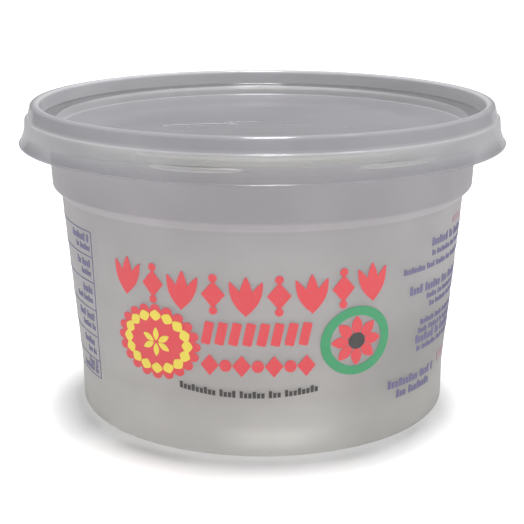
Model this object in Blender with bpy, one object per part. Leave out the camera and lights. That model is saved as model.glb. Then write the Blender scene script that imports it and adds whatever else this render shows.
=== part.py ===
"""A round snap-lid food tub: a tapered, translucent tub with a stepped collar, shut by a clear lid.

Metres, +Z up. The origin is the centre of the base, and +Z is the axis of both turned pieces.
The shut tub is one solid up to just under the lid's panel, with its real rim, collar and foot.
"""
import math

import bmesh
import bpy
from mathutils import Matrix, Vector

# ---- driving dimensions -------------------------------------------------------------------
TOTAL_HEIGHT = 0.0750
LID_RADIUS = 0.0590           # the flared lip at the bottom of the lid's skirt
LID_WALL = 0.0008             # thickness of the moulded lid
GAP = 0.0003                  # play kept between the lid and the tub
TURN_STEPS = 64               # facets round each turned piece
MERGE_DISTANCE = 0.00001
SHARP_ANGLE = math.radians(32)
FINE_ROUNDING = 0.0003        # edges of the rims and the lip
MID_ROUNDING = 0.0004         # inner corners of the lid's ledge and panel
SOFT_ROUNDING = 0.0007        # corners of the collar

# The tub, from the foot up
FOOT_HEIGHT = 0.0008          # the middle of the base stands this far off the table
FOOT_OUTER_RADIUS = 0.0456
FOOT_INNER_RADIUS = 0.0410
FOOT_ROUNDING = 0.0014
BAND_HEIGHT = 0.0105          # upright band above the foot, where the taper starts
BAND_RADIUS = 0.0457
TAPER = math.radians(4.85)    # lean of the side wall
SHOULDER_BOTTOM = 0.0534      # the wall steps out here to the collar
SHOULDER_TOP = 0.0555
COLLAR_BOTTOM_RADIUS = 0.0514
COLLAR_TOP_RADIUS = 0.0521
TUB_WALL = 0.0008
RIM_TOP = 0.0702
RIM_THICKNESS = 0.0010
RIM_RADIUS = 0.0566           # the tub's out-turned rim, which the lid snaps over

# The lid, from its lip up
LIP_BOTTOM = 0.06545
FLARE_START = 0.0683          # the skirt flares out below this height
SKIRT_RADIUS = 0.0578
SKIRT_TOP = 0.0714
SKIRT_TOP_RADIUS = 0.0574
STACK_FOOT = 0.0725           # bottom of the narrower stacking ring on top of the lid
STACK_FOOT_RADIUS = 0.0566
CREST_OUTER_RADIUS = 0.0560
CREST_INNER_RADIUS = 0.0539
CREST_ROUNDING = 0.0010
RECESS_RADIUS = 0.0536        # inside of the stacking ring, at its foot
PLUG_DEPTH = 0.0025           # how far the panel sits below the ledge
PLUG_RADIUS = 0.0501          # inside of the plug that drops into the tub's mouth
PLUG_DRAFT = 0.0003           # the plug narrows this much towards the panel

# Snap beads inside the skirt, which hold the lid under the tub's rim
BEAD_COUNT = 8
BEAD_FIRST = math.radians(30.6 - 90.0)
BEAD_SPAN = math.radians(21.0)
BEAD_DEPTH = 0.0007
BEAD_HEIGHT = 0.0008
BEAD_SECTIONS = 7
BEAD_END = 0.15               # size of a bead's end as a share of its middle

# ---- derived dimensions -------------------------------------------------------------------
WALL_TOP_RADIUS = BAND_RADIUS + (SHOULDER_BOTTOM - BAND_HEIGHT) * math.tan(TAPER)
RIM_UNDERSIDE = RIM_TOP - RIM_THICKNESS
LEDGE_UNDERSIDE = RIM_TOP + GAP
LEDGE_TOP = LEDGE_UNDERSIDE + LID_WALL
PANEL_TOP = LEDGE_TOP - PLUG_DEPTH
PANEL_UNDERSIDE = PANEL_TOP - LID_WALL
FILL_TOP = PANEL_UNDERSIDE - GAP
MOUTH_RADIUS = COLLAR_TOP_RADIUS - TUB_WALL
SKIRT_INNER_RADIUS = SKIRT_RADIUS - LID_WALL


def remove_everything():
    """Start from an empty scene."""
    for old in list(bpy.data.objects):
        bpy.data.objects.remove(old, do_unlink=True)


def plastic(name, colour, roughness, alpha):
    """A Principled plastic in one colour."""
    material = bpy.data.materials.new(name)
    material.use_nodes = True
    shader = material.node_tree.nodes["Principled BSDF"]
    shader.inputs["Base Color"].default_value = (*colour, 1.0)
    shader.inputs["Roughness"].default_value = roughness
    shader.inputs["Metallic"].default_value = 0.0
    shader.inputs["Alpha"].default_value = alpha
    return material


def new_object(name, shell):
    """Put a finished bmesh into the scene as an object of its own."""
    mesh = bpy.data.meshes.new(name)
    shell.to_mesh(mesh)
    shell.free()
    piece = bpy.data.objects.new(name, mesh)
    bpy.context.collection.objects.link(piece)
    return piece


def rounded(corners):
    """Turn (radius, height, rounding, segments) corners into outline points.

    A corner with a rounding above zero becomes an arc that touches both of its edges.
    """
    points = []
    for index, (radius, height, rounding, segments) in enumerate(corners):
        corner = Vector((radius, height))
        if rounding == 0.0:
            points.append(corner)
            continue
        before = (Vector(corners[index - 1][:2]) - corner).normalized()
        after = (Vector(corners[index + 1][:2]) - corner).normalized()
        half_angle = before.angle(after) / 2
        centre = corner + (before + after).normalized() * rounding / math.sin(half_angle)
        first = corner + before * rounding / math.tan(half_angle) - centre
        last = corner + after * rounding / math.tan(half_angle) - centre
        sweep = first.angle_signed(last)
        for step in range(segments + 1):
            spoke = Matrix.Rotation(-sweep * step / segments, 2) @ first
            points.append(centre + spoke)
    return points


def turned(name, corners, material):
    """A solid of revolution about Z from an outline that runs outwards, down and back in."""
    shell = bmesh.new()
    points = [shell.verts.new((point.x, 0.0, point.y)) for point in rounded(corners)]
    edges = [shell.edges.new(pair) for pair in zip(points, points[1:])]
    bmesh.ops.spin(
        shell,
        geom=points + edges,
        cent=(0.0, 0.0, 0.0),
        axis=(0.0, 0.0, 1.0),
        angle=math.tau,
        steps=TURN_STEPS,
        use_merge=True,
    )
    bmesh.ops.remove_doubles(shell, verts=shell.verts, dist=MERGE_DISTANCE)
    bmesh.ops.recalc_face_normals(shell, faces=shell.faces)
    piece = new_object(name, shell)
    piece.data.materials.append(material)
    piece.data.shade_smooth()
    piece.data.set_sharp_from_angle(angle=SHARP_ANGLE)
    return piece


def tub_outline():
    """The tub's half section, from the middle of its top to the middle of its base."""
    return [
        (0.0, FILL_TOP, 0.0, 0),
        (MOUTH_RADIUS, FILL_TOP, 0.0, 0),
        (MOUTH_RADIUS, RIM_TOP, 0.0, 0),
        (RIM_RADIUS, RIM_TOP, FINE_ROUNDING, 1),
        (RIM_RADIUS, RIM_UNDERSIDE, FINE_ROUNDING, 1),
        (COLLAR_TOP_RADIUS, RIM_UNDERSIDE, SOFT_ROUNDING, 2),
        (COLLAR_BOTTOM_RADIUS, SHOULDER_TOP, SOFT_ROUNDING, 2),
        (WALL_TOP_RADIUS, SHOULDER_BOTTOM, SOFT_ROUNDING, 2),
        (BAND_RADIUS, BAND_HEIGHT, 0.0, 0),
        (FOOT_OUTER_RADIUS, 0.0, FOOT_ROUNDING, 4),
        (FOOT_INNER_RADIUS, 0.0, 0.0, 0),
        (FOOT_INNER_RADIUS - FOOT_HEIGHT, FOOT_HEIGHT, 0.0, 0),
        (0.0, FOOT_HEIGHT, 0.0, 0),
    ]


def lid_outline():
    """The lid's half section: out along the top, over the stacking ring and back underneath."""
    over = [
        (0.0, PANEL_TOP, 0.0, 0),
        (PLUG_RADIUS - PLUG_DRAFT, PANEL_TOP, MID_ROUNDING, 1),
        (PLUG_RADIUS, LEDGE_TOP, MID_ROUNDING, 1),
        (RECESS_RADIUS, LEDGE_TOP, MID_ROUNDING, 1),
        (CREST_INNER_RADIUS, TOTAL_HEIGHT, CREST_ROUNDING, 3),
        (CREST_OUTER_RADIUS, TOTAL_HEIGHT, CREST_ROUNDING, 3),
        (STACK_FOOT_RADIUS, STACK_FOOT, 0.0, 0),
        (SKIRT_TOP_RADIUS, SKIRT_TOP, FINE_ROUNDING, 1),
        (SKIRT_RADIUS, FLARE_START, 0.0, 0),
        (LID_RADIUS, LIP_BOTTOM + LID_WALL, FINE_ROUNDING, 1),
        (LID_RADIUS, LIP_BOTTOM, FINE_ROUNDING, 1),
    ]
    under = [
        (LID_RADIUS - LID_WALL, LIP_BOTTOM, 0.0, 0),
        (SKIRT_INNER_RADIUS, FLARE_START - LID_WALL / 2, 0.0, 0),
        (SKIRT_INNER_RADIUS, LEDGE_UNDERSIDE, 0.0, 0),
        (CREST_OUTER_RADIUS - LID_WALL, TOTAL_HEIGHT - LID_WALL, 0.0, 0),
        (CREST_INNER_RADIUS + LID_WALL, TOTAL_HEIGHT - LID_WALL, 0.0, 0),
        (RECESS_RADIUS + LID_WALL, LEDGE_UNDERSIDE, 0.0, 0),
        (PLUG_RADIUS + LID_WALL, LEDGE_UNDERSIDE, 0.0, 0),
        (PLUG_RADIUS + LID_WALL - PLUG_DRAFT, PANEL_UNDERSIDE, 0.0, 0),
        (0.0, PANEL_UNDERSIDE, 0.0, 0),
    ]
    return over + under


def snap_bead(name, middle_angle, height):
    """One snap bead: a lens that swells along an arc and dies out into the skirt's inner face."""
    shell = bmesh.new()
    rings = []
    for section in range(BEAD_SECTIONS):
        share = section / (BEAD_SECTIONS - 1)
        angle = middle_angle + (share - 0.5) * BEAD_SPAN
        swell = BEAD_END + (1 - BEAD_END) * math.sin(math.pi * share)
        inner = SKIRT_INNER_RADIUS - BEAD_DEPTH * swell
        root = SKIRT_INNER_RADIUS + LID_WALL / 2
        half = BEAD_HEIGHT / 2 * swell
        corners = [
            (root, half),
            (root, -half),
            (inner, -half / 2),
            (inner, half / 2),
        ]
        rings.append([
            shell.verts.new((radius * math.cos(angle), radius * math.sin(angle), height + lift))
            for radius, lift in corners
        ])
    for ring, following in zip(rings, rings[1:]):
        for corner in range(4):
            beside = (corner + 1) % 4
            shell.faces.new((ring[corner], ring[beside], following[beside], following[corner]))
    shell.faces.new(rings[0])
    shell.faces.new(rings[-1])
    bmesh.ops.recalc_face_normals(shell, faces=shell.faces)
    bead = new_object(name, shell)
    bead.hide_render = True
    bead.display_type = "WIRE"
    return bead


def add_snap_beads(lid):
    """Join the ring of snap beads to the inside of the lid's skirt, just under the tub's rim."""
    bead_height = RIM_UNDERSIDE - GAP - BEAD_HEIGHT / 2
    for number in range(BEAD_COUNT):
        angle = BEAD_FIRST + math.tau * number / BEAD_COUNT
        bead = snap_bead(f"bead_{number + 1}", angle, bead_height)
        union = lid.modifiers.new(f"Bead {number + 1}", "BOOLEAN")
        union.operation = "UNION"
        union.solver = "EXACT"
        union.object = bead


def main():
    remove_everything()
    tub_plastic = plastic("translucent_plastic", (0.40, 0.40, 0.41), 0.38, 1.0)
    lid_plastic = plastic("clear_plastic", (0.42, 0.42, 0.44), 0.16, 0.8)
    turned("tub", tub_outline(), tub_plastic)
    lid = turned("lid", lid_outline(), lid_plastic)
    add_snap_beads(lid)


main()
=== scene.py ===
# %% [markdown]
# # A lidded cheese tub, step by step
# This lesson builds a round plastic food tub with its lid shut. The tub is moulded in a milky
# plastic and the lid in a clearer one, so light gets into both. Each step says what the piece is on
# the real tub, how it could be made, and why it is made this way here. All sizes are in metres, +Z
# is up, and the printed front looks along -Y.

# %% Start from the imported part
import math

import bmesh
import bpy
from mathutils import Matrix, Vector


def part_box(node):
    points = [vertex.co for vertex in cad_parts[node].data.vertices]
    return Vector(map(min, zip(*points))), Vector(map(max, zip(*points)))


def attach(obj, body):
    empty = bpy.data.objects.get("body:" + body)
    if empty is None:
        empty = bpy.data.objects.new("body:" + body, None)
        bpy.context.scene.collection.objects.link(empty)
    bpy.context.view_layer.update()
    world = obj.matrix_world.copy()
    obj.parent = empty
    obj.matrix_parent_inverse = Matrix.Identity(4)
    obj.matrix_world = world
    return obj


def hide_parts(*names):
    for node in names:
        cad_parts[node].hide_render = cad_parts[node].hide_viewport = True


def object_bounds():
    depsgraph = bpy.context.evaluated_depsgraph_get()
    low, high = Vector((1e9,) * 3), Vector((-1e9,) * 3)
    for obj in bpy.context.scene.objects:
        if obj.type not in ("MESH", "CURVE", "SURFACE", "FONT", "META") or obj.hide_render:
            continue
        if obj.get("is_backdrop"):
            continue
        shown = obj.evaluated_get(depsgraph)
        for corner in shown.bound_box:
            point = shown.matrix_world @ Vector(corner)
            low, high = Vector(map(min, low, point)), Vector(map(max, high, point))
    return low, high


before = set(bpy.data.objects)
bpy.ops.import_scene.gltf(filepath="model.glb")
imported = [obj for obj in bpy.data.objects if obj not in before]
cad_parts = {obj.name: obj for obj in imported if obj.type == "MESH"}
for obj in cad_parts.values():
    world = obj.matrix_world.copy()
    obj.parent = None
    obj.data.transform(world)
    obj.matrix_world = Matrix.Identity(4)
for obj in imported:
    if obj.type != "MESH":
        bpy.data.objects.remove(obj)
cad_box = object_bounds()
for name in sorted(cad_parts):
    low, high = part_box(name)
    print(f"{name}: {low.z * 1000:.1f} to {high.z * 1000:.1f} mm high, {(high.x - low.x) * 1000:.1f} mm wide")

# %% [markdown]
# ## Sizes
# A turned moulding is drawn once, as half of its section. Its sizes are therefore all radii and
# heights. They are the part's own sizes, so the fine model fills the same space. The lid's lip and
# crest come from the part's boxes, which keeps both models together.

# %% Sizes of the tub
MM = 0.001
TOTAL_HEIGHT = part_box("lid")[1].z
LID_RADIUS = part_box("lid")[1].x
WALL = 0.8 * MM
FOOT_HEIGHT = 0.8 * MM
FOOT_OUTER = 45.6 * MM
FOOT_INNER = 41.0 * MM
BAND_HEIGHT = 10.5 * MM
BAND_RADIUS = 45.7 * MM
TAPER = math.tan(math.radians(4.85))
SHOULDER_LOW = 53.4 * MM
SHOULDER_HIGH = 55.5 * MM
WALL_TOP = BAND_RADIUS + (SHOULDER_LOW - BAND_HEIGHT) * TAPER
COLLAR_LOW = 51.4 * MM
COLLAR_HIGH = 52.1 * MM
MOUTH = 51.3 * MM
RIM_RADIUS = 56.6 * MM
RIM_LOW = 69.2 * MM
RIM_HIGH = 70.2 * MM
FILL_TOP = 67.7 * MM

# %% Sizes of the lid
LIP_LOW = 65.45 * MM
FLARE = 68.3 * MM
SKIRT = 57.8 * MM
SKIRT_HIGH = 71.4 * MM
SKIRT_SHOULDER = 57.45 * MM
STACK_FOOT = 71.7 * MM
STACK_RADIUS = 56.85 * MM
HEM_RADIUS = 58.75 * MM
HEM_HIGH = 65.72 * MM
CREST_OUTER = 56.0 * MM
CREST_INNER = 53.9 * MM
RECESS = 53.6 * MM
LEDGE = 71.3 * MM
PLUG = 50.1 * MM
PLUG_DRAFT = 0.3 * MM
PANEL = 68.8 * MM
SKIRT_INSIDE = 57.0 * MM
LEDGE_UNDER = LEDGE - WALL
PANEL_UNDER = PANEL - WALL
TURN_STEPS = 240
print(f"wall leans {math.degrees(math.atan(TAPER)):.2f} degrees, top radius {WALL_TOP / MM:.2f} mm")

# %% [markdown]
# ## Three helpers for turned pieces
# A turned piece starts as one point. The point is extruded from corner to corner until the half
# section is drawn. Then each corner is bevelled to its own radius, as a mould maker would cut it,
# and the line is spun round the axis. Drawing the section first keeps every radius in one place,
# where modelling on a finished cylinder would mean chasing rings of edges.

# %% Draw, round and turn
def select_nothing():
    """Leave edit mode and deselect every object."""
    if bpy.context.object and bpy.context.object.mode != "OBJECT":
        bpy.ops.object.mode_set(mode="OBJECT")
    bpy.ops.object.select_all(action="DESELECT")


def select_points(piece, wanted):
    """In edit mode, select the points for which wanted(place) is true, and return how many."""
    shape = bmesh.from_edit_mesh(piece.data)
    shape.select_mode = {"VERT"}
    for point in shape.verts:
        point.select_set(wanted(point.co))
    shape.select_flush_mode()
    bmesh.update_edit_mesh(piece.data)
    return sum(point.select for point in shape.verts)


def draw_section(name, corners):
    """One line of edges through (radius, height) corners, drawn in the plane y = 0."""
    select_nothing()
    bpy.ops.mesh.primitive_plane_add(size=MM, location=(corners[0][0], 0, corners[0][1]))
    piece = bpy.context.object
    piece.name = piece.data.name = name
    bpy.ops.object.transform_apply(location=True)
    bpy.ops.object.mode_set(mode="EDIT")
    bpy.ops.mesh.merge(type="CENTER")
    for here, there in zip(corners, corners[1:]):
        step = (there[0] - here[0], 0, there[1] - here[1])
        bpy.ops.mesh.extrude_region_move(TRANSFORM_OT_translate={"value": step})
    return piece


def round_corners(piece, corners, radii, segments=5):
    """Bevel each inner corner of the drawn line to its radius. A radius of 0 stays sharp."""
    for before, corner, after, radius in zip(corners, corners[1:], corners[2:], radii[1:]):
        if radius == 0:
            continue
        place = Vector((corner[0], 0, corner[1]))
        back = Vector((before[0], 0, before[1])) - place
        ahead = Vector((after[0], 0, after[1])) - place
        reach = radius / math.tan(back.angle(ahead) / 2)
        select_points(piece, lambda co: (co - place).length < 0.001 * MM)
        bpy.ops.mesh.bevel(offset=reach, segments=segments, affect="VERTICES")


def turn(piece, steps=TURN_STEPS, smooth_below=50):
    """Spin the section round the axis, close it at the poles and shade it."""
    bpy.ops.mesh.select_all(action="SELECT")
    bpy.ops.mesh.spin(steps=steps, angle=math.tau, center=(0, 0, 0), axis=(0, 0, 1))
    bpy.ops.mesh.select_all(action="SELECT")
    bpy.ops.mesh.remove_doubles(threshold=0.002 * MM)
    bpy.ops.mesh.normals_make_consistent(inside=False)
    finish_shape(piece, smooth_below)


def finish_shape(piece, smooth_below=50):
    """Leave edit mode, shade the piece and print its size."""
    bpy.ops.object.mode_set(mode="OBJECT")
    select_nothing()
    piece.select_set(True)
    bpy.context.view_layer.objects.active = piece
    bpy.ops.object.shade_smooth_by_angle(angle=math.radians(smooth_below))
    size = piece.dimensions / MM
    print(f"{piece.name}: {len(piece.data.polygons)} faces, {size.x:.1f} x {size.y:.1f} x {size.z:.1f} mm")

# %% [markdown]
# ## The tub
# The real tub is a thin shell with an out-turned rim, a straight collar, a sloping shoulder and a
# tapered wall that ends in an upright band and a rounded foot. It could be a solid with one skin,
# but milky plastic is believable only if it has a thickness that light goes through. So the section
# is drawn right round: down the outside, under the foot and up the inside.

# %% Turn the tub's shell
tub_corners = [
    (0, FOOT_HEIGHT, 0),
    (FOOT_INNER - FOOT_HEIGHT, FOOT_HEIGHT, 0.4 * MM),
    (FOOT_INNER, 0, 0.3 * MM),
    (FOOT_OUTER, 0, 1.4 * MM),
    (BAND_RADIUS, BAND_HEIGHT, 0.7 * MM),
    (WALL_TOP, SHOULDER_LOW, 0.7 * MM),
    (COLLAR_LOW, SHOULDER_HIGH, 0.9 * MM),
    (COLLAR_HIGH, RIM_LOW, 0.4 * MM),
    (RIM_RADIUS, RIM_LOW, 0.3 * MM),
    (RIM_RADIUS, RIM_HIGH, 0.3 * MM),
    (MOUTH, RIM_HIGH, 0.3 * MM),
    (COLLAR_LOW - WALL, SHOULDER_HIGH, 0.5 * MM),
    (WALL_TOP - WALL, SHOULDER_LOW, 0.5 * MM),
    (BAND_RADIUS - WALL, BAND_HEIGHT, 0.7 * MM),
    (FOOT_OUTER - 2 * WALL, FOOT_HEIGHT + WALL, 1.2 * MM),
    (0, FOOT_HEIGHT + WALL, 0),
]


def turned(name, corners, segments=5):
    """A finished turned piece from (radius, height, rounding) corners."""
    line = [corner[:2] for corner in corners]
    piece = draw_section(name, line)
    round_corners(piece, line, [corner[2] for corner in corners], segments)
    turn(piece)
    return piece


tub_shell = turned("tub_shell", tub_corners)

# %% [markdown]
# ## The cloudy body inside
# What the shut tub holds can't be seen, only that it is filled with something pale. The part treats
# it as one solid, and so does this model: a plain body a hair's breadth inside the shell. It gives
# the milky wall something to lie over, which is what makes its edges look like plastic.

# %% Turn the body inside
SLIP = 0.12 * MM
body_corners = [
    (0, FOOT_HEIGHT + WALL + SLIP, 0),
    (FOOT_OUTER - 2 * WALL - SLIP, FOOT_HEIGHT + WALL + SLIP, 3.5 * MM),
    (BAND_RADIUS - WALL - SLIP, BAND_HEIGHT, 0.7 * MM),
    (WALL_TOP - WALL - SLIP, SHOULDER_LOW, 0.5 * MM),
    (COLLAR_LOW - WALL - SLIP, SHOULDER_HIGH, 0.5 * MM),
    (MOUTH - 4 * SLIP, FILL_TOP, 0.8 * MM),
    (0, FILL_TOP, 0),
]
cloudy_body = turned("cloudy_body", body_corners)

# %% [markdown]
# ## The lid
# The lid is thin and clear. From the middle outwards it has a sunk panel, the plug that presses into
# the tub's mouth, a narrow ledge, the raised ring that the next tub stands in, and a skirt in two
# steps that flares to a lip. The same drawing runs out over the top and back underneath. 

# %% Turn the lid
lid_over = [
    (0, PANEL, 0),
    (PLUG - PLUG_DRAFT, PANEL, 0.4 * MM),
    (PLUG, LEDGE, 0.4 * MM),
    (RECESS, LEDGE, 0.4 * MM),
    (CREST_INNER, TOTAL_HEIGHT, 0.8 * MM),
    (CREST_OUTER, TOTAL_HEIGHT, 0.8 * MM),
    (STACK_RADIUS, STACK_FOOT, 0.2 * MM),
    (SKIRT_SHOULDER, SKIRT_HIGH, 0.25 * MM),
    (SKIRT, FLARE, 0.7 * MM),
    (HEM_RADIUS, HEM_HIGH, 0.05 * MM),
    (LID_RADIUS, HEM_HIGH - 0.06 * MM, 0.08 * MM),
    (LID_RADIUS, LIP_LOW, 0.08 * MM),
]
lid_under = [
    (LID_RADIUS - WALL, LIP_LOW, 0.2 * MM),
    (SKIRT_INSIDE, FLARE - WALL / 2, 0.5 * MM),
    (SKIRT_INSIDE, LEDGE_UNDER, 0.3 * MM),
    (CREST_OUTER - WALL, TOTAL_HEIGHT - WALL, 0.2 * MM),
    (CREST_INNER + WALL, TOTAL_HEIGHT - WALL, 0.2 * MM),
    (RECESS + WALL, LEDGE_UNDER, 0.4 * MM),
    (PLUG + WALL, LEDGE_UNDER, 0.3 * MM),
    (PLUG + WALL - PLUG_DRAFT, PANEL_UNDER, 0.3 * MM),
    (0, PANEL_UNDER, 0),
]
lid_shell = turned("lid_shell", lid_over + lid_under)

# %% [markdown]
# ## The creases in the lid's panel
# Thin panels pick up fine creases when a lid is pressed on. Here one runs across the middle, a short
# curl lies behind it, and a faint one lies on the right. They could be painted as a bump, but a bump
# has no outline and is lost when the mesh is used without its material. So each is a slender ridge:
# a line extruded from point to point, made round as a curve, and sunk halfway into the panel.

# %% Press the creases into the panel
def crease(points_mm, thick):
    """A slender ridge along points on the panel, in mm."""
    select_nothing()
    bpy.ops.mesh.primitive_plane_add(size=MM, location=(0, 0, 0))
    ridge = bpy.context.object
    bpy.ops.object.mode_set(mode="EDIT")
    bpy.ops.mesh.merge(type="CENTER")
    bpy.ops.transform.translate(value=(points_mm[0][0] * MM, points_mm[0][1] * MM, PANEL + 0.1 * thick))
    for here, there in zip(points_mm, points_mm[1:]):
        step = ((there[0] - here[0]) * MM, (there[1] - here[1]) * MM, 0)
        bpy.ops.mesh.extrude_region_move(TRANSFORM_OT_translate={"value": step})
    bpy.ops.object.mode_set(mode="OBJECT")
    bpy.ops.object.convert(target="CURVE")
    ridge.data.bevel_depth = thick / 2
    ridge.data.bevel_resolution = 2
    ridge.data.use_fill_caps = True
    bpy.ops.object.convert(target="MESH")
    return bpy.context.object


creases = [
    crease([(-24, -5), (-21, -3.8), (-18, -3.4), (-15, -2.4), (-12, -2), (-9, -2.2), (-6, -3.6)], 0.38 * MM),
    crease([(-9.5, -0.4), (-8, 0.9), (-6.8, 0.2), (-5.8, 1.4), (-4.6, 0.8), (-3, 1.1), (-1, 0.8)], 0.26 * MM),
    crease([(4, -2.6), (9, -3.2), (14, -4.4), (19, -6), (23, -7.6)], 0.16 * MM),
]
select_nothing()
for ridge in creases:
    ridge.select_set(True)
bpy.context.view_layer.objects.active = creases[0]
bpy.ops.object.join()
lid_creases = bpy.context.object
lid_creases.name = lid_creases.data.name = "lid_creases"
bpy.ops.object.transform_apply(location=True, rotation=True, scale=True)
bpy.ops.object.mode_set(mode="EDIT")
bpy.ops.mesh.select_all(action="SELECT")
bpy.ops.mesh.remove_doubles(threshold=0.002 * MM)
bpy.ops.mesh.normals_make_consistent(inside=False)
finish_shape(lid_creases)

# %% [markdown]
# ## The beads that hold the lid on
# Inside the skirt, eight short ribs catch under the tub's rim. Each swells from nothing and dies out
# again, like a lens. One is modelled and the others are copies. It is a circle spun through a short
# arc into a curved rod, and its sections are then shrunk towards the skirt at both ends.

# %% Make one bead and copy it round
BEAD_COUNT = 8
BEAD_SPAN = math.radians(21)
BEAD_TURN = math.radians(30.6 - 90)
BEAD_HEIGHT = 1.3 * MM
BEAD_DEPTH = 0.7 * MM
bead_level = RIM_LOW - 0.3 * MM - BEAD_HEIGHT / 2


def make_bead():
    """One lens-shaped rib on the skirt's inside, with its middle at +X."""
    select_nothing()
    bpy.ops.mesh.primitive_circle_add(
        vertices=14, radius=1, location=(SKIRT_INSIDE, 0, bead_level), rotation=(math.pi / 2, 0, 0))
    bead = bpy.context.object
    bead.scale = (BEAD_DEPTH, BEAD_HEIGHT / 2, 1)
    bpy.ops.object.transform_apply(location=True, rotation=True, scale=True)
    bpy.ops.object.mode_set(mode="EDIT")
    bpy.ops.mesh.select_all(action="SELECT")
    bpy.ops.transform.rotate(
        value=BEAD_SPAN / 2, orient_axis="Z", center_override=(0, 0, 0))
    bpy.ops.mesh.spin(steps=28, angle=BEAD_SPAN, center=(0, 0, 0), axis=(0, 0, 1))
    bpy.ops.object.mode_set(mode="OBJECT")
    return bead


bead = make_bead()
angles = [math.atan2(point.co.y, point.co.x) for point in bead.data.vertices]
middle = (min(angles) + max(angles)) / 2
for point, angle in zip(bead.data.vertices, angles):
    share = (angle - middle) / (BEAD_SPAN / 2)
    swell = math.sqrt(max(0.0, 1 - share * share))
    root = Vector((SKIRT_INSIDE * math.cos(angle), SKIRT_INSIDE * math.sin(angle), bead_level))
    point.co = root + (point.co - root) * swell

beads = []
for number in range(BEAD_COUNT):
    copy = bead.copy()
    copy.data = bead.data.copy()
    bpy.context.scene.collection.objects.link(copy)
    copy.rotation_euler.z = BEAD_TURN - middle + math.tau * number / BEAD_COUNT
    beads.append(copy)
bpy.data.objects.remove(bead)
select_nothing()
for copy in beads:
    copy.select_set(True)
bpy.context.view_layer.objects.active = beads[0]
bpy.ops.object.transform_apply(rotation=True)
bpy.ops.object.join()
lid_beads = bpy.context.object
lid_beads.name = lid_beads.data.name = "lid_beads"
bpy.ops.object.mode_set(mode="EDIT")
bpy.ops.mesh.select_all(action="SELECT")
bpy.ops.mesh.remove_doubles(threshold=0.002 * MM)
bpy.ops.mesh.normals_make_consistent(inside=False)
finish_shape(lid_beads)
print("bead ring spans", [round(v / MM, 2) for v in (min(p.co.z for p in lid_beads.data.vertices), max(p.co.z for p in lid_beads.data.vertices))])

# %% [markdown]
# ## The print
# The real tub is printed with inks straight on its wall. Here the print is a generic pattern: a row of
# leaf and diamond shapes, two short rows of blocks, two flower badges, and bars where small print
# would be. It could be a picture laid round the wall, but plain shapes with crisp edges need none.
# Each ink is drawn flat, as on a printing plate, cut into narrow upright strips so that it can curve,
# rolled round the wall and given the thickness of a film of ink.

# %% Flat shapes for the printing plates
def plate_shape(x, z, width, height, sides=32, lean=0.0, hole=0.0):
    """A flat shape on the plate, in mm: 32 sides for an ellipse, 4 for a diamond."""
    select_nothing()
    bpy.ops.mesh.primitive_circle_add(vertices=sides, radius=0.5, fill_type="NGON")
    shape = bpy.context.object
    if hole:
        bpy.ops.object.mode_set(mode="EDIT")
        bpy.ops.mesh.select_all(action="SELECT")
        bpy.ops.mesh.inset(thickness=0.5 * (1 - hole))
        bpy.ops.mesh.delete(type="FACE")
        bpy.ops.object.mode_set(mode="OBJECT")
    shape.scale = (width, height, 1)
    bpy.ops.object.transform_apply(scale=True)
    shape.rotation_euler.z = math.radians(-lean)
    bpy.ops.object.transform_apply(rotation=True)
    shape.location = (x, z, 0)
    bpy.ops.object.transform_apply(location=True)
    return shape


def block(x, z, width, height, lean=0.0, corner=0.0):
    """A flat rectangle in mm. Its corners are rounded if corner is more than 0."""
    select_nothing()
    bpy.ops.mesh.primitive_plane_add(size=1)
    shape = bpy.context.object
    shape.scale = (width, height, 1)
    bpy.ops.object.transform_apply(scale=True)
    if corner:
        bpy.ops.object.mode_set(mode="EDIT")
        bpy.ops.mesh.select_all(action="SELECT")
        bpy.ops.mesh.bevel(offset=corner, segments=4, affect="VERTICES")
        bpy.ops.object.mode_set(mode="OBJECT")
    shape.rotation_euler.z = math.radians(-lean)
    bpy.ops.object.transform_apply(rotation=True)
    shape.location = (x, z, 0)
    bpy.ops.object.transform_apply(location=True)
    return shape


def leaf(x, z, width, height, lean=0.0):
    """A leaf: an ellipse whose two ends are drawn out to points."""
    shape = plate_shape(0, 0, width, height, sides=28)
    for point in shape.data.vertices:
        share = abs(point.co.y) / (height / 2)
        point.co.x *= 1 - 0.55 * share ** 2
    select_nothing()
    shape.select_set(True)
    bpy.context.view_layer.objects.active = shape
    shape.rotation_euler.z = math.radians(-lean)
    bpy.ops.object.transform_apply(rotation=True)
    shape.location = (x, z, 0)
    bpy.ops.object.transform_apply(location=True)
    return shape

# %% [markdown]
# A printing plate becomes a film of ink in four moves: the shapes are joined, upright cuts split them
# into strips narrow enough to bend, each point is carried to its place on the wall, and Solidify
# gives the film its thickness. The points are carried in code, because Blender's own bend tool needs
# a window.

# %% Roll a plate round the wall
STRIP = 1.1
INK = 0.05 * MM


def wall_radius(height):
    """The tub's outer radius between the foot and the shoulder."""
    return BAND_RADIUS + max(0.0, height - BAND_HEIGHT) * TAPER


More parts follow.
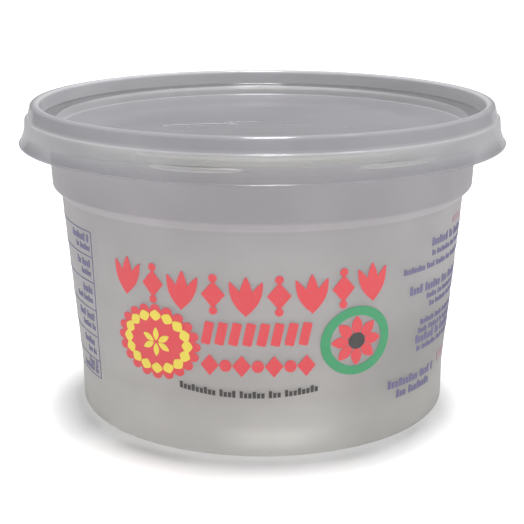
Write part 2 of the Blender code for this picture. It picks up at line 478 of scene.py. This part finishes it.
def ink_film(name, shapes, layer=0):
    """Join flat shapes in mm into one film of ink on the wall. Layer 1 lies on layer 0."""
    select_nothing()
    for shape in shapes:
        shape.select_set(True)
    bpy.context.view_layer.objects.active = shapes[0]
    if len(shapes) > 1:
        bpy.ops.object.join()
    film = bpy.context.object
    film.name = film.data.name = name
    left = min(point.co.x for point in film.data.vertices)
    right = max(point.co.x for point in film.data.vertices)
    bpy.ops.object.mode_set(mode="EDIT")
    cut = math.floor(left / STRIP) * STRIP + STRIP
    while cut < right:
        bpy.ops.mesh.select_all(action="SELECT")
        bpy.ops.mesh.bisect(plane_co=(cut, 0, 0), plane_no=(1, 0, 0))
        cut += STRIP
    bpy.ops.object.mode_set(mode="OBJECT")
    lift = (0.02 + 0.06 * layer) * MM
    for point in film.data.vertices:
        height = point.co.y * MM
        radius = wall_radius(height)
        angle = point.co.x * MM / radius
        point.co = ((radius + lift) * math.sin(angle), -(radius + lift) * math.cos(angle), height)
    film.data.update()
    solidify = film.modifiers.new("Ink film", "SOLIDIFY")
    solidify.thickness = INK
    solidify.offset = 1
    bpy.ops.object.modifier_apply(modifier=solidify.name)
    bpy.ops.object.mode_set(mode="EDIT")
    finish_shape(film, 30)
    return film

# %% [markdown]
# ### The red rows
# The widest row hangs in a shallow curve right under the shoulder. It repeats a sheaf of three leaves
# and a diamond between two dots. Both rows below it are plain: leaning blocks, then diamonds and dots.

# %% Draw the red rows
def row_sag(x):
    """Height of the wide row's foot in mm, which is lowest near its middle."""
    return 34.2 + 0.0022 * (x + 2) ** 2


red_row = []
ROW_STEP = 7.25
for number in range(9):
    x = -32.6 + ROW_STEP * number
    foot = row_sag(x)
    tilt = 0.25 * (x + 2)
    if number % 2 == 0:
        red_row.append(leaf(x, foot + 4.5, 2.9, 9.2, -tilt * 0.4))
        red_row.append(leaf(x - 1.9, foot + 4.1, 2.4, 8.4, -24 - tilt * 0.4))
        red_row.append(leaf(x + 1.9, foot + 4.1, 2.4, 8.4, 24 - tilt * 0.4))
    else:
        red_row.append(plate_shape(x, foot + 4.6, 5.4, 6.4, sides=4))
        red_row.append(plate_shape(x, foot + 0.9, 1.9, 1.9))
        red_row.append(plate_shape(x, foot + 8.4, 1.9, 1.9))
for number in range(8):
    red_row.append(block(-12.2 + 3.1 * number, 29.9, 2.1, 5.4, lean=12, corner=0.4))
for number in range(7):
    x = -11.8 + 3.6 * number
    if number % 2 == 0:
        red_row.append(plate_shape(x, 22.3, 4.2, 5.2, sides=4))
    else:
        red_row.append(plate_shape(x, 22.3, 2.7, 2.9))
print(len(red_row), "red shapes in the rows")

# %% [markdown]
# ### The badges
# Left of the rows is a scalloped red badge with a ring of yellow petals. Right of them, a green ring
# goes round a red flower with a dark heart. A badge is wider than it is high, because it is drawn
# to be seen from the front of the tub, where the wall turns away.

# %% Draw the badges
def ring_of(count, centre, radii, make, turn_by=0.0):
    """Place count shapes round an ellipse. make(x, z, angle) draws one."""
    shapes = []
    for number in range(count):
        angle = math.tau * number / count + turn_by
        x = centre[0] + radii[0] * math.sin(angle)
        z = centre[1] + radii[1] * math.cos(angle)
        shapes.append(make(x, z, math.degrees(angle)))
    return shapes


LEFT_BADGE = (-24.9, 26.1)
RIGHT_BADGE = (21.7, 26.9)
red_row.append(plate_shape(*LEFT_BADGE, 19.6, 15.8, sides=48))
red_row += ring_of(20, LEFT_BADGE, (9.8, 7.9), lambda x, z, a: plate_shape(x, z, 2.6, 2.3, sides=16))
red_row += ring_of(8, RIGHT_BADGE, (3.9, 3.6), lambda x, z, a: leaf(x, z, 2.7, 4.6, a))
yellow = ring_of(16, LEFT_BADGE, (7.9, 6.4), lambda x, z, a: leaf(x, z, 2.9, 2.6, a))
yellow += ring_of(6, LEFT_BADGE, (2.3, 1.9), lambda x, z, a: leaf(x, z, 1.5, 3.2, a))
green = [plate_shape(*RIGHT_BADGE, 17.6, 16.4, sides=56, hole=0.74)]
dark = [plate_shape(*RIGHT_BADGE, 4.2, 3.9, sides=24)]
print(len(yellow), "yellow shapes")

# %% [markdown]
# ### The small print
# Small print is shown as rows of plain strokes: a dark row in the front, a blue table on the left,
# and blue lines on the right that run on round the side. One stroke is drawn, an Array modifier
# repeats it to a word, and every third stroke is a little taller. The words' lengths follow a short
# list, so the rows look like print without holding a letter.

# %% Draw the small print
WORDS = (7, 2, 9, 4, 6, 3, 8, 5)


def word(x, z, strokes, size):
    """A word of plain strokes from x on, in mm."""
    shape = block(x + 0.3 * size, z, 0.6 * size, size)
    array = shape.modifiers.new("Strokes", "ARRAY")
    array.count = strokes
    array.use_relative_offset = False
    array.use_constant_offset = True
    array.constant_offset_displace = (0.84 * size, 0, 0)
    bpy.ops.object.modifier_apply(modifier=array.name)
    for point in shape.data.vertices:
        column = int((point.co.x - x + 0.1 * size) / (0.84 * size))
        if point.co.y > z and column % 3 == 0:
            point.co.y += 0.4 * size
    return shape


def text_row(x, end, z, size, first):
    """Words from x to end, with a stroke's gap between them."""
    row, number = [], first
    while x < end - size:
        strokes = max(1, min(WORDS[number % len(WORDS)], int((end - x) / (0.84 * size))))
        row.append(word(x, z, strokes, size))
        x += (0.84 * strokes + 0.6) * size
        number += 1
    return row


front_row = text_row(-19.0, 13.4, 0, 1.15, 2)
for shape in front_row:
    for point in shape.data.vertices:
        point.co.y += 15.2 + 0.0052 * (point.co.x + 3) ** 2
dark += front_row

TABLE_EDGE = -45.6
blue = [block(TABLE_EDGE + 0.1, 29.9, 0.28, 37.2)]
TABLE_LINES = (48.4, 42.2, 35.8, 28.9, 22.1, 15.8, 11.4)
for z in TABLE_LINES:
    blue.append(block(TABLE_EDGE - 14, z, 28.2, 0.25))
for number, (top, foot) in enumerate(zip(TABLE_LINES, TABLE_LINES[1:])):
    for line in range(2):
        z = top - (top - foot) * (0.34 + 0.36 * line)
        start = TABLE_EDGE - 10.5 + 2.1 * ((number + line) % 3)
        blue += text_row(start, TABLE_EDGE - 0.7, z, 1.3 if line == 0 else 1.05, number + line)
TEXT_LINES = [
    (44.9, 46.0, 1.45), (45.2, 43.4, 1.0), (34.6, 40.6, 1.05), (37.2, 35.4, 1.5), (44.0, 33.0, 1.0),
    (45.5, 30.8, 1.0), (41.9, 27.0, 1.0), (41.2, 24.9, 1.0), (40.4, 22.7, 1.5), (41.0, 20.4, 1.0)]
for number, (x, z, size) in enumerate(TEXT_LINES):
    blue += text_row(x, 74.0 - 3 * (number % 3), z, size, number)
blue += text_row(31.2, 51.0, 13.4, 1.5, 2)
blue += text_row(34.2, 50.0, 10.6, 1.45, 5)
pink = [block(60.5, 49.3, 9.5, 1.5), block(57.0, 14.6, 7.0, 2.2)]
print(len(blue), "blue words and lines and", len(dark), "dark ones")

# %% Roll every plate
films = {
    "print_red": ink_film("print_red", red_row),
    "print_green": ink_film("print_green", green),
    "print_dark": ink_film("print_dark", dark, layer=1),
    "print_yellow": ink_film("print_yellow", yellow, layer=1),
    "print_blue": ink_film("print_blue", blue),
    "print_pink": ink_film("print_pink", pink),
}

# %% [markdown]
# ## Materials
# Two shared effects come first. Cloud mottles a plastic softly, as uneven cooling does. Wear adds the
# fine scuffs of handling. Each is a node group that gives out masks only, and every material
# blends them in with its own strengths.

# %% The shared cloud and scuff groups
def group_input(group, name, value):
    socket = group.interface.new_socket(name, in_out="INPUT", socket_type="NodeSocketFloat")
    socket.default_value = value


def new_group(name, inputs, outputs):
    """An empty shader node group with named inputs and outputs."""
    group = bpy.data.node_groups.new(name, "ShaderNodeTree")
    for label, value in inputs:
        group_input(group, label, value)
    for label in outputs:
        group.interface.new_socket(label, in_out="OUTPUT", socket_type="NodeSocketFloat")
    source = group.nodes.new("NodeGroupInput")
    sink = group.nodes.new("NodeGroupOutput")
    return group, source, sink


def noise(tree, vector, scale, detail=2.0, stretch=(1, 1, 1)):
    """A noise texture on a point that is first stretched."""
    mapping = tree.nodes.new("ShaderNodeMapping")
    mapping.inputs["Scale"].default_value = stretch
    tree.links.new(vector, mapping.inputs["Vector"])
    texture = tree.nodes.new("ShaderNodeTexNoise")
    texture.inputs["Scale"].default_value = scale
    texture.inputs["Detail"].default_value = detail
    tree.links.new(mapping.outputs["Vector"], texture.inputs["Vector"])
    return texture.outputs["Fac"]


def sum_up(tree, operation, first, second):
    """A Math node on two sockets or numbers."""
    node = tree.nodes.new("ShaderNodeMath")
    node.operation = operation
    for socket, value in zip(node.inputs, (first, second)):
        if isinstance(value, (int, float)):
            socket.default_value = value
        else:
            tree.links.new(value, socket)
    return node.outputs[0]


cloud, cloud_in, cloud_out = new_group("Cloud", [("Scale", 30.0)], ["Mottle", "Grain"])
cloud_point = cloud.nodes.new("ShaderNodeTexCoord").outputs["Object"]
cloud.links.new(noise(cloud, cloud_point, 38.0, 3.0), cloud_out.inputs["Mottle"])
cloud.links.new(noise(cloud, cloud_point, 900.0, 2.0), cloud_out.inputs["Grain"])

scuffs, scuffs_in, scuffs_out = new_group("Scuffs", [("Amount", 0.5)], ["Mask"])
scuffs_point = scuffs.nodes.new("ShaderNodeTexCoord").outputs["Object"]
fine = noise(scuffs, scuffs_point, 260.0, 4.0, stretch=(1, 1, 0.08))
patch = noise(scuffs, scuffs_point, 45.0, 2.0)
both = sum_up(scuffs, "MULTIPLY", fine, patch)
ramp = scuffs.nodes.new("ShaderNodeMapRange")
ramp.inputs["From Min"].default_value = 0.27
ramp.inputs["From Max"].default_value = 0.42
scuffs.links.new(both, ramp.inputs["Value"])
scuffs.links.new(sum_up(scuffs, "MULTIPLY", ramp.outputs["Result"], scuffs_in.outputs["Amount"]), scuffs_out.inputs["Mask"])

# %% [markdown]
# Two plain measures place the tones: how high a point is, and how far it is from the axis. A tone ramp
# then gives the colour at each height, and the mottle moves it a little either way. How much of
# what lies behind shows through is the Alpha. Fresnel's simpler sister, Facing, closes it at grazing
# angles, where the light goes a longer way through the wall.

# %% Helpers for the plastics
def place_group(tree, group, **values):
    """One use of a shared group, with its own values."""
    node = tree.nodes.new("ShaderNodeGroup")
    node.node_tree = group
    for label, value in values.items():
        node.inputs[label].default_value = value
    return node


def blend_colours(tree, share, first, second, mode="MIX"):
    """A colour between two. Each is a socket or a plain (r, g, b)."""
    node = tree.nodes.new("ShaderNodeMix")
    node.data_type = "RGBA"
    node.blend_type = mode
    for label, value in ((0, share), (6, first), (7, second)):
        if isinstance(value, tuple):
            node.inputs[label].default_value = (*value, 1)
        elif isinstance(value, (int, float)):
            node.inputs[label].default_value = value
        else:
            tree.links.new(value, node.inputs[label])
    return node.outputs[2]


def new_material(name, roughness, specular):
    """A material with its Principled shader's plain values set."""
    material = bpy.data.materials.new(name)
    material.use_nodes = True
    tree = material.node_tree
    shader = tree.nodes["Principled BSDF"]
    shader.inputs["Roughness"].default_value = roughness
    shader.inputs["Specular IOR Level"].default_value = specular
    return material, tree, shader


def object_point(tree):
    """The x, y and z sockets of the point on the piece."""
    point = tree.nodes.new("ShaderNodeTexCoord").outputs["Object"]
    split = tree.nodes.new("ShaderNodeSeparateXYZ")
    tree.links.new(point, split.inputs[0])
    return split.outputs["X"], split.outputs["Y"], split.outputs["Z"]


def fade(tree, value, start, end, low=0.0, high=1.0):
    """A smooth change from low to high as the value goes from start to end."""
    node = tree.nodes.new("ShaderNodeMapRange")
    node.interpolation_type = "SMOOTHSTEP"
    for label, number in (("From Min", start), ("From Max", end), ("To Min", low), ("To Max", high)):
        node.inputs[label].default_value = number
    tree.links.new(value, node.inputs["Value"])
    return node.outputs["Result"]


def axis_distance(tree):
    """How far the point is from the tub's axis."""
    x, y, _ = object_point(tree)
    squares = sum_up(tree, "ADD", sum_up(tree, "MULTIPLY", x, x), sum_up(tree, "MULTIPLY", y, y))
    return sum_up(tree, "POWER", squares, 0.5)


def tone_ramp(tree, stops):
    """A colour for each height, from (height in mm, colour) stops."""
    share = sum_up(tree, "DIVIDE", object_point(tree)[2], TOTAL_HEIGHT)
    node = tree.nodes.new("ShaderNodeValToRGB")
    tree.links.new(share, node.inputs[0])
    elements = node.color_ramp.elements
    while len(elements) < len(stops):
        elements.new(0.5)
    for element, (height, colour) in zip(elements, stops):
        element.position = height * MM / TOTAL_HEIGHT
    for element, (height, colour) in zip(elements, stops):
        element.color = (*colour, 1)
    return node.outputs[0]


def plastic(name, roughness, specular, colour, mottle=0.05, bump=0.02):
    """A plastic with a mottled colour, scuffed sheen and fine grain. colour(tree) gives its tone."""
    material, tree, shader = new_material(name, roughness, specular)
    mist = place_group(tree, cloud)
    worn = place_group(tree, scuffs, Amount=0.35)
    shade = fade(tree, mist.outputs["Mottle"], 0.3, 0.7, 1 - mottle, 1 + mottle)
    tree.links.new(blend_colours(tree, 1.0, colour(tree), shade, "MULTIPLY"), shader.inputs["Base Color"])
    rough = sum_up(tree, "ADD", sum_up(tree, "MULTIPLY", worn.outputs["Mask"], 0.12), roughness)
    tree.links.new(rough, shader.inputs["Roughness"])
    relief = tree.nodes.new("ShaderNodeBump")
    relief.inputs["Strength"].default_value = bump
    relief.inputs["Distance"].default_value = 0.2 * MM
    tree.links.new(mist.outputs["Grain"], relief.inputs["Height"])
    tree.links.new(relief.outputs["Normal"], shader.inputs["Normal"])
    return material, tree, shader


def show_through(tree, shader, solid, solid_edge, passed_on, grazing=0.35):
    """Let what lies behind show through. solid is a number or a socket.

    Cloudy plastic scatters light but stops little of it, so light that only passes meets less:
    passed_on is the share of the cloudiness that such light doesn't meet.
    """
    facing = tree.nodes.new("ShaderNodeLayerWeight")
    facing.inputs["Blend"].default_value = grazing
    rest = sum_up(tree, "SUBTRACT", solid_edge, solid)
    seen = sum_up(tree, "ADD", sum_up(tree, "MULTIPLY", facing.outputs["Facing"], rest), solid)
    path = tree.nodes.new("ShaderNodeLightPath")
    passing = sum_up(tree, "MAXIMUM", path.outputs["Is Shadow Ray"], path.outputs["Is Diffuse Ray"])
    met = sum_up(tree, "SUBTRACT", 1.0, sum_up(tree, "MULTIPLY", passing, passed_on))
    tree.links.new(sum_up(tree, "MULTIPLY", seen, met), shader.inputs["Alpha"])

# %% [markdown]
# The tub's wall is painted lighter towards the foot, as painted light for the light that gathers between
# the wall and the floor, and greyer at the collar. A patch of painted light lies low on the foot's front.
# Its shell is a quarter clear, so the body inside gives it depth.

# %% The tub's two finishes
def tone_with_painted_light(tree, stops):
    """The tone by height, painted lighter towards the foot, with a painted patch of light at the foot's front and a
    darker patch low on the right.
    """
    x, y, z = object_point(tree)
    low = sum_up(tree, "MULTIPLY", fade(tree, x, 5 * MM, 38 * MM), fade(tree, z, 48 * MM, 16 * MM))
    low = sum_up(tree, "MULTIPLY", low, fade(tree, y, 10 * MM, -10 * MM))
    dim = fade(tree, low, 0.0, 1.0, 1.0, 0.72)
    # Painted light: a soft lighter patch low on the front of the foot, on the front half only.
    from_middle = sum_up(tree, "ABSOLUTE", sum_up(tree, "SUBTRACT", x, 3 * MM), 0.0)
    from_painted_light_patch = sum_up(tree, "ABSOLUTE", sum_up(tree, "SUBTRACT", z, 4.6 * MM), 0.0)
    painted_light_patch = sum_up(tree, "MULTIPLY", fade(tree, from_middle, 17 * MM, 4 * MM), fade(tree, from_painted_light_patch, 3.6 * MM, 0.6 * MM))
    painted_light_patch = sum_up(tree, "MULTIPLY", painted_light_patch, fade(tree, y, -20 * MM, -40 * MM, 0.0, 0.20))
    # shade is the painted light patch added to the darker patch, as one factor on the tone.
    shade = sum_up(tree, "ADD", dim, painted_light_patch)
    return blend_colours(tree, 1.0, tone_ramp(tree, stops), shade, "MULTIPLY")


# Painted light: the tub's tones grow lighter towards the foot, for the light that gathers between the wall and the
# floor.
TUB_TONES_WITH_PAINTED_LIGHT = [
    (0, (0.80, 0.79, 0.76)), (5, (0.65, 0.64, 0.61)), (14, (0.475, 0.46, 0.445)), (26, (0.44, 0.425, 0.42)),
    (52, (0.40, 0.385, 0.39)), (56, (0.352, 0.335, 0.354)), (67, (0.365, 0.352, 0.366)), (69, (0.455, 0.455, 0.42))]
tub_plastic, tub_tree, tub_shader = plastic(
    "Milky tub plastic", 0.34, 0.3, lambda tree: tone_with_painted_light(tree, TUB_TONES_WITH_PAINTED_LIGHT))
show_through(tub_tree, tub_shader, 0.7, 0.98, 0.9)
# Painted light here too: the filling's tones grow lighter towards the foot.
BODY_TONES_WITH_PAINTED_LIGHT = [
    (0, (0.80, 0.79, 0.76)), (14, (0.52, 0.505, 0.485)), (52, (0.42, 0.405, 0.41)), (66, (0.38, 0.365, 0.385))]
body_finish, body_tree, body_shader = plastic(
    "Cloudy filling", 0.6, 0.3, lambda tree: tone_with_painted_light(tree, BODY_TONES_WITH_PAINTED_LIGHT), 0.12, 0.05)
show_through(body_tree, body_shader, 1.0, 1.0, 0.5)

# %% [markdown]
# The lid is clearer and shinier. Its panel lies over the body and reads darkest. The rings and the
# skirt are painted lighter, as painted light, and the steep walls of the plug and the recess are painted
# lighter still. The flat ledge is painted dark, as painted shade. The band in front of the tub's rim is
# clear, so the rim shows through it, and the flared lip is clearer still and painted darker, as painted shade.

# %% The lid's finish
# Painted light and shade: each zone of the lid gets its own tone, lighter on the steps, ring and skirt, darker on the
# ledge and lip.
PANEL_TONE = (0.262, 0.258, 0.278)
STEP_PAINTED_LIGHT = (0.56, 0.555, 0.58)
LEDGE_PAINTED_SHADE = (0.14, 0.138, 0.147)
RING_PAINTED_LIGHT = (0.31, 0.305, 0.325)
SKIRT_PAINTED_LIGHT = (0.39, 0.385, 0.40)
LIP_PAINTED_SHADE = (0.265, 0.26, 0.28)


def lid_tone_with_painted_light(tree):
    """The lid's tone from the middle of the panel out to the lip, with painted light on the steps, ring and skirt and
    painted shade on the ledge and lip.
    """
    away = axis_distance(tree)
    height = object_point(tree)[2]
    off_ledge = sum_up(tree, "MAXIMUM", fade(tree, height, 71.35 * MM, 71.7 * MM), fade(tree, height, 71.25 * MM, 70.9 * MM))
    steps = blend_colours(tree, off_ledge, LEDGE_PAINTED_SHADE, STEP_PAINTED_LIGHT)
    inner = blend_colours(tree, fade(tree, away, 49.4 * MM, 49.9 * MM), PANEL_TONE, steps)
    skirt = blend_colours(tree, fade(tree, height, 69 * MM, 66 * MM), SKIRT_PAINTED_LIGHT, LIP_PAINTED_SHADE)
    skirt = blend_colours(tree, fade(tree, height, 71.8 * MM, 72.4 * MM), skirt, RING_PAINTED_LIGHT)
    return blend_colours(tree, fade(tree, away, 54.2 * MM, 55.6 * MM), inner, skirt)


lid_plastic, lid_tree, lid_shader = plastic("Clear lid plastic", 0.11, 0.5, lid_tone_with_painted_light, bump=0.01)
lid_height = object_point(lid_tree)[2]
outside = fade(lid_tree, axis_distance(lid_tree), 55.6 * MM, 56.4 * MM)
ring = fade(lid_tree, lid_height, 70.8 * MM, 71.6 * MM, 0.42, 0.70)
skirt = sum_up(lid_tree, "MULTIPLY", outside, fade(lid_tree, lid_height, 72.2 * MM, 71.6 * MM, 0.0, 0.14))
lip = sum_up(lid_tree, "MULTIPLY", outside, fade(lid_tree, lid_height, 69.0 * MM, 68.2 * MM, 0.0, 0.12))
solid = sum_up(lid_tree, "SUBTRACT", ring, sum_up(lid_tree, "ADD", skirt, lip))
show_through(lid_tree, lid_shader, solid, 0.98, 0.95, grazing=0.7)


def bead_painted_light_and_shade(tree):
    """A bead is painted pale as painted light, and dark along its upper edge as painted shade, where it turns the light
    away.
    """
    height = object_point(tree)[2]
    return blend_colours(tree, fade(tree, height, 68.62 * MM, 68.85 * MM), (0.46, 0.455, 0.445), (0.08, 0.08, 0.07))


bead_plastic, bead_tree, bead_shader = plastic("Lid bead plastic", 0.2, 0.4, bead_painted_light_and_shade, bump=0.01)
show_through(bead_tree, bead_shader, 0.62, 0.8, 0.7)


def crease_painted_highlight(tree):
    """A crease is painted paler than the panel, most where it is highest: a painted highlight along its top."""
    height = object_point(tree)[2]
    return blend_colours(tree, fade(tree, height, PANEL, PANEL + 0.1 * MM), PANEL_TONE, (0.60, 0.595, 0.61))


crease_plastic, crease_tree, crease_shader = plastic("Creased lid plastic", 0.12, 0.5, crease_painted_highlight, bump=0.01)
show_through(crease_tree, crease_shader, 0.6, 0.9, 0.7)

# %% [markdown]
# Ink is nearly opaque and a little duller than the plastic. Its colour is mottled by the grain, as a
# screen print on a slick wall never covers quite evenly.

# %% The inks
def ink(name, colour):
    """A film of ink, slightly uneven in tone and sheen."""
    material, tree, shader = new_material(name, 0.42, 0.35)
    mist = place_group(tree, cloud)
    worn = place_group(tree, scuffs, Amount=0.35)
    paler = tuple(channel + (0.42 - channel) * 0.10 for channel in colour)
    tone = blend_colours(tree, mist.outputs["Grain"], colour, paler)
    tone = blend_colours(tree, worn.outputs["Mask"], tone, paler)
    tree.links.new(tone, shader.inputs["Base Color"])
    rough = sum_up(tree, "ADD", sum_up(tree, "MULTIPLY", mist.outputs["Mottle"], 0.15), 0.35)
    tree.links.new(rough, shader.inputs["Roughness"])
    return material


INKS = {
    "print_red": (0.82, 0.078, 0.093),
    "print_yellow": (0.92, 0.74, 0.095),
    "print_green": (0.06, 0.375, 0.165),
    "print_dark": (0.075, 0.067, 0.067),
    "print_blue": (0.17, 0.155, 0.31),
    "print_pink": (0.42, 0.27, 0.32),
}

# %% Give each piece its finish and its place on the part
def dress(piece, material, nodes=()):
    piece.data.materials.clear()
    piece.data.materials.append(material)
    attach(piece, "root")
    if nodes:
        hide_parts(*nodes)


dress(tub_shell, tub_plastic, ["tub"])
dress(cloudy_body, body_finish, ["tub"])
dress(lid_shell, lid_plastic, ["lid"])
dress(lid_beads, bead_plastic, ["lid"])
dress(lid_creases, crease_plastic, ["lid"])
for name, film in films.items():
    dress(film, ink("Ink " + name, INKS[name]))

# %% [markdown]
# ## Floor, light and camera
# The tub stands on a plain white floor under soft studio light. A broad lamp almost overhead lights it,
# and two small lamps high behind it draw the bright lines on the lid's rings. The camera looks slightly
# down on it through a long lens.

# %% The floor
select_nothing()
bpy.ops.mesh.primitive_plane_add(size=8, location=(0, 0, -0.0001))
floor = bpy.context.object
floor.name = "floor"
floor_paint, floor_tree, floor_shader = new_material("White floor", 0.9, 0.0)
floor_glossy = floor_tree.nodes.new("ShaderNodeLightPath").outputs["Is Glossy Ray"]
floor_tone = blend_colours(floor_tree, floor_glossy, (0.98, 0.98, 0.98), (0.40, 0.40, 0.41))
floor_tree.links.new(floor_tone, floor_shader.inputs["Base Color"])
floor.data.materials.append(floor_paint)
floor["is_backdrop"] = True

# %% The light
world = bpy.data.worlds.new("Studio")
bpy.context.scene.world = world
world.use_nodes = True
sky = world.node_tree
backdrop = sky.nodes["Background"]
backdrop.inputs["Color"].default_value = (1, 1, 1, 1)
towards = sky.nodes.new("ShaderNodeSeparateXYZ")
sky.links.new(sky.nodes.new("ShaderNodeTexCoord").outputs["Generated"], towards.inputs[0])
front = fade(sky, towards.outputs["Y"], 1.0, -1.0, 0.30, 0.46)
room = sum_up(sky, "MULTIPLY", front, fade(sky, towards.outputs["X"], -1.0, 1.0, 0.72, 1.28))
seen_directly = sky.nodes.new("ShaderNodeLightPath").outputs["Is Camera Ray"]
sky.links.new(sum_up(sky, "MAXIMUM", room, seen_directly), backdrop.inputs["Strength"])


def far_lamp(name, direction, width, strength):
    """A round lamp so far off that it lights the whole floor alike. width is in degrees."""
    data = bpy.data.lights.new(name, "SUN")
    data.angle = math.radians(width)
    data.energy = strength
    light = bpy.data.objects.new(name, data)
    light.rotation_euler = (-Vector(direction)).to_track_quat("-Z", "Y").to_euler()
    bpy.context.scene.collection.objects.link(light)


far_lamp("lamp_key", (0.02, 0.06, 0.998), 12, 3.3)
far_lamp("lamp_left", (0.073, 0.400, 0.913), 3, 0.28)
far_lamp("lamp_right", (0.243, 0.456, 0.856), 3, 0.28)

# %% The camera
camera_data = bpy.data.cameras.new("Camera")
camera_data.sensor_width = 36.0
camera_data.lens = 88.46
camera = bpy.data.objects.new("Camera", camera_data)
camera.location = (-0.0001, -0.3137, 0.1199)
camera.rotation_euler = (math.radians(74.58), 0, 0)
bpy.context.scene.collection.objects.link(camera)
bpy.context.scene.camera = camera
bpy.context.scene.view_settings.view_transform = "Standard"

# %% Print the boxes of the part and the model
model_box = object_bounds()
for label, box in (("part", cad_box), ("model", model_box)):
    print(label, [[round(value / MM, 2) for value in corner] for corner in box])
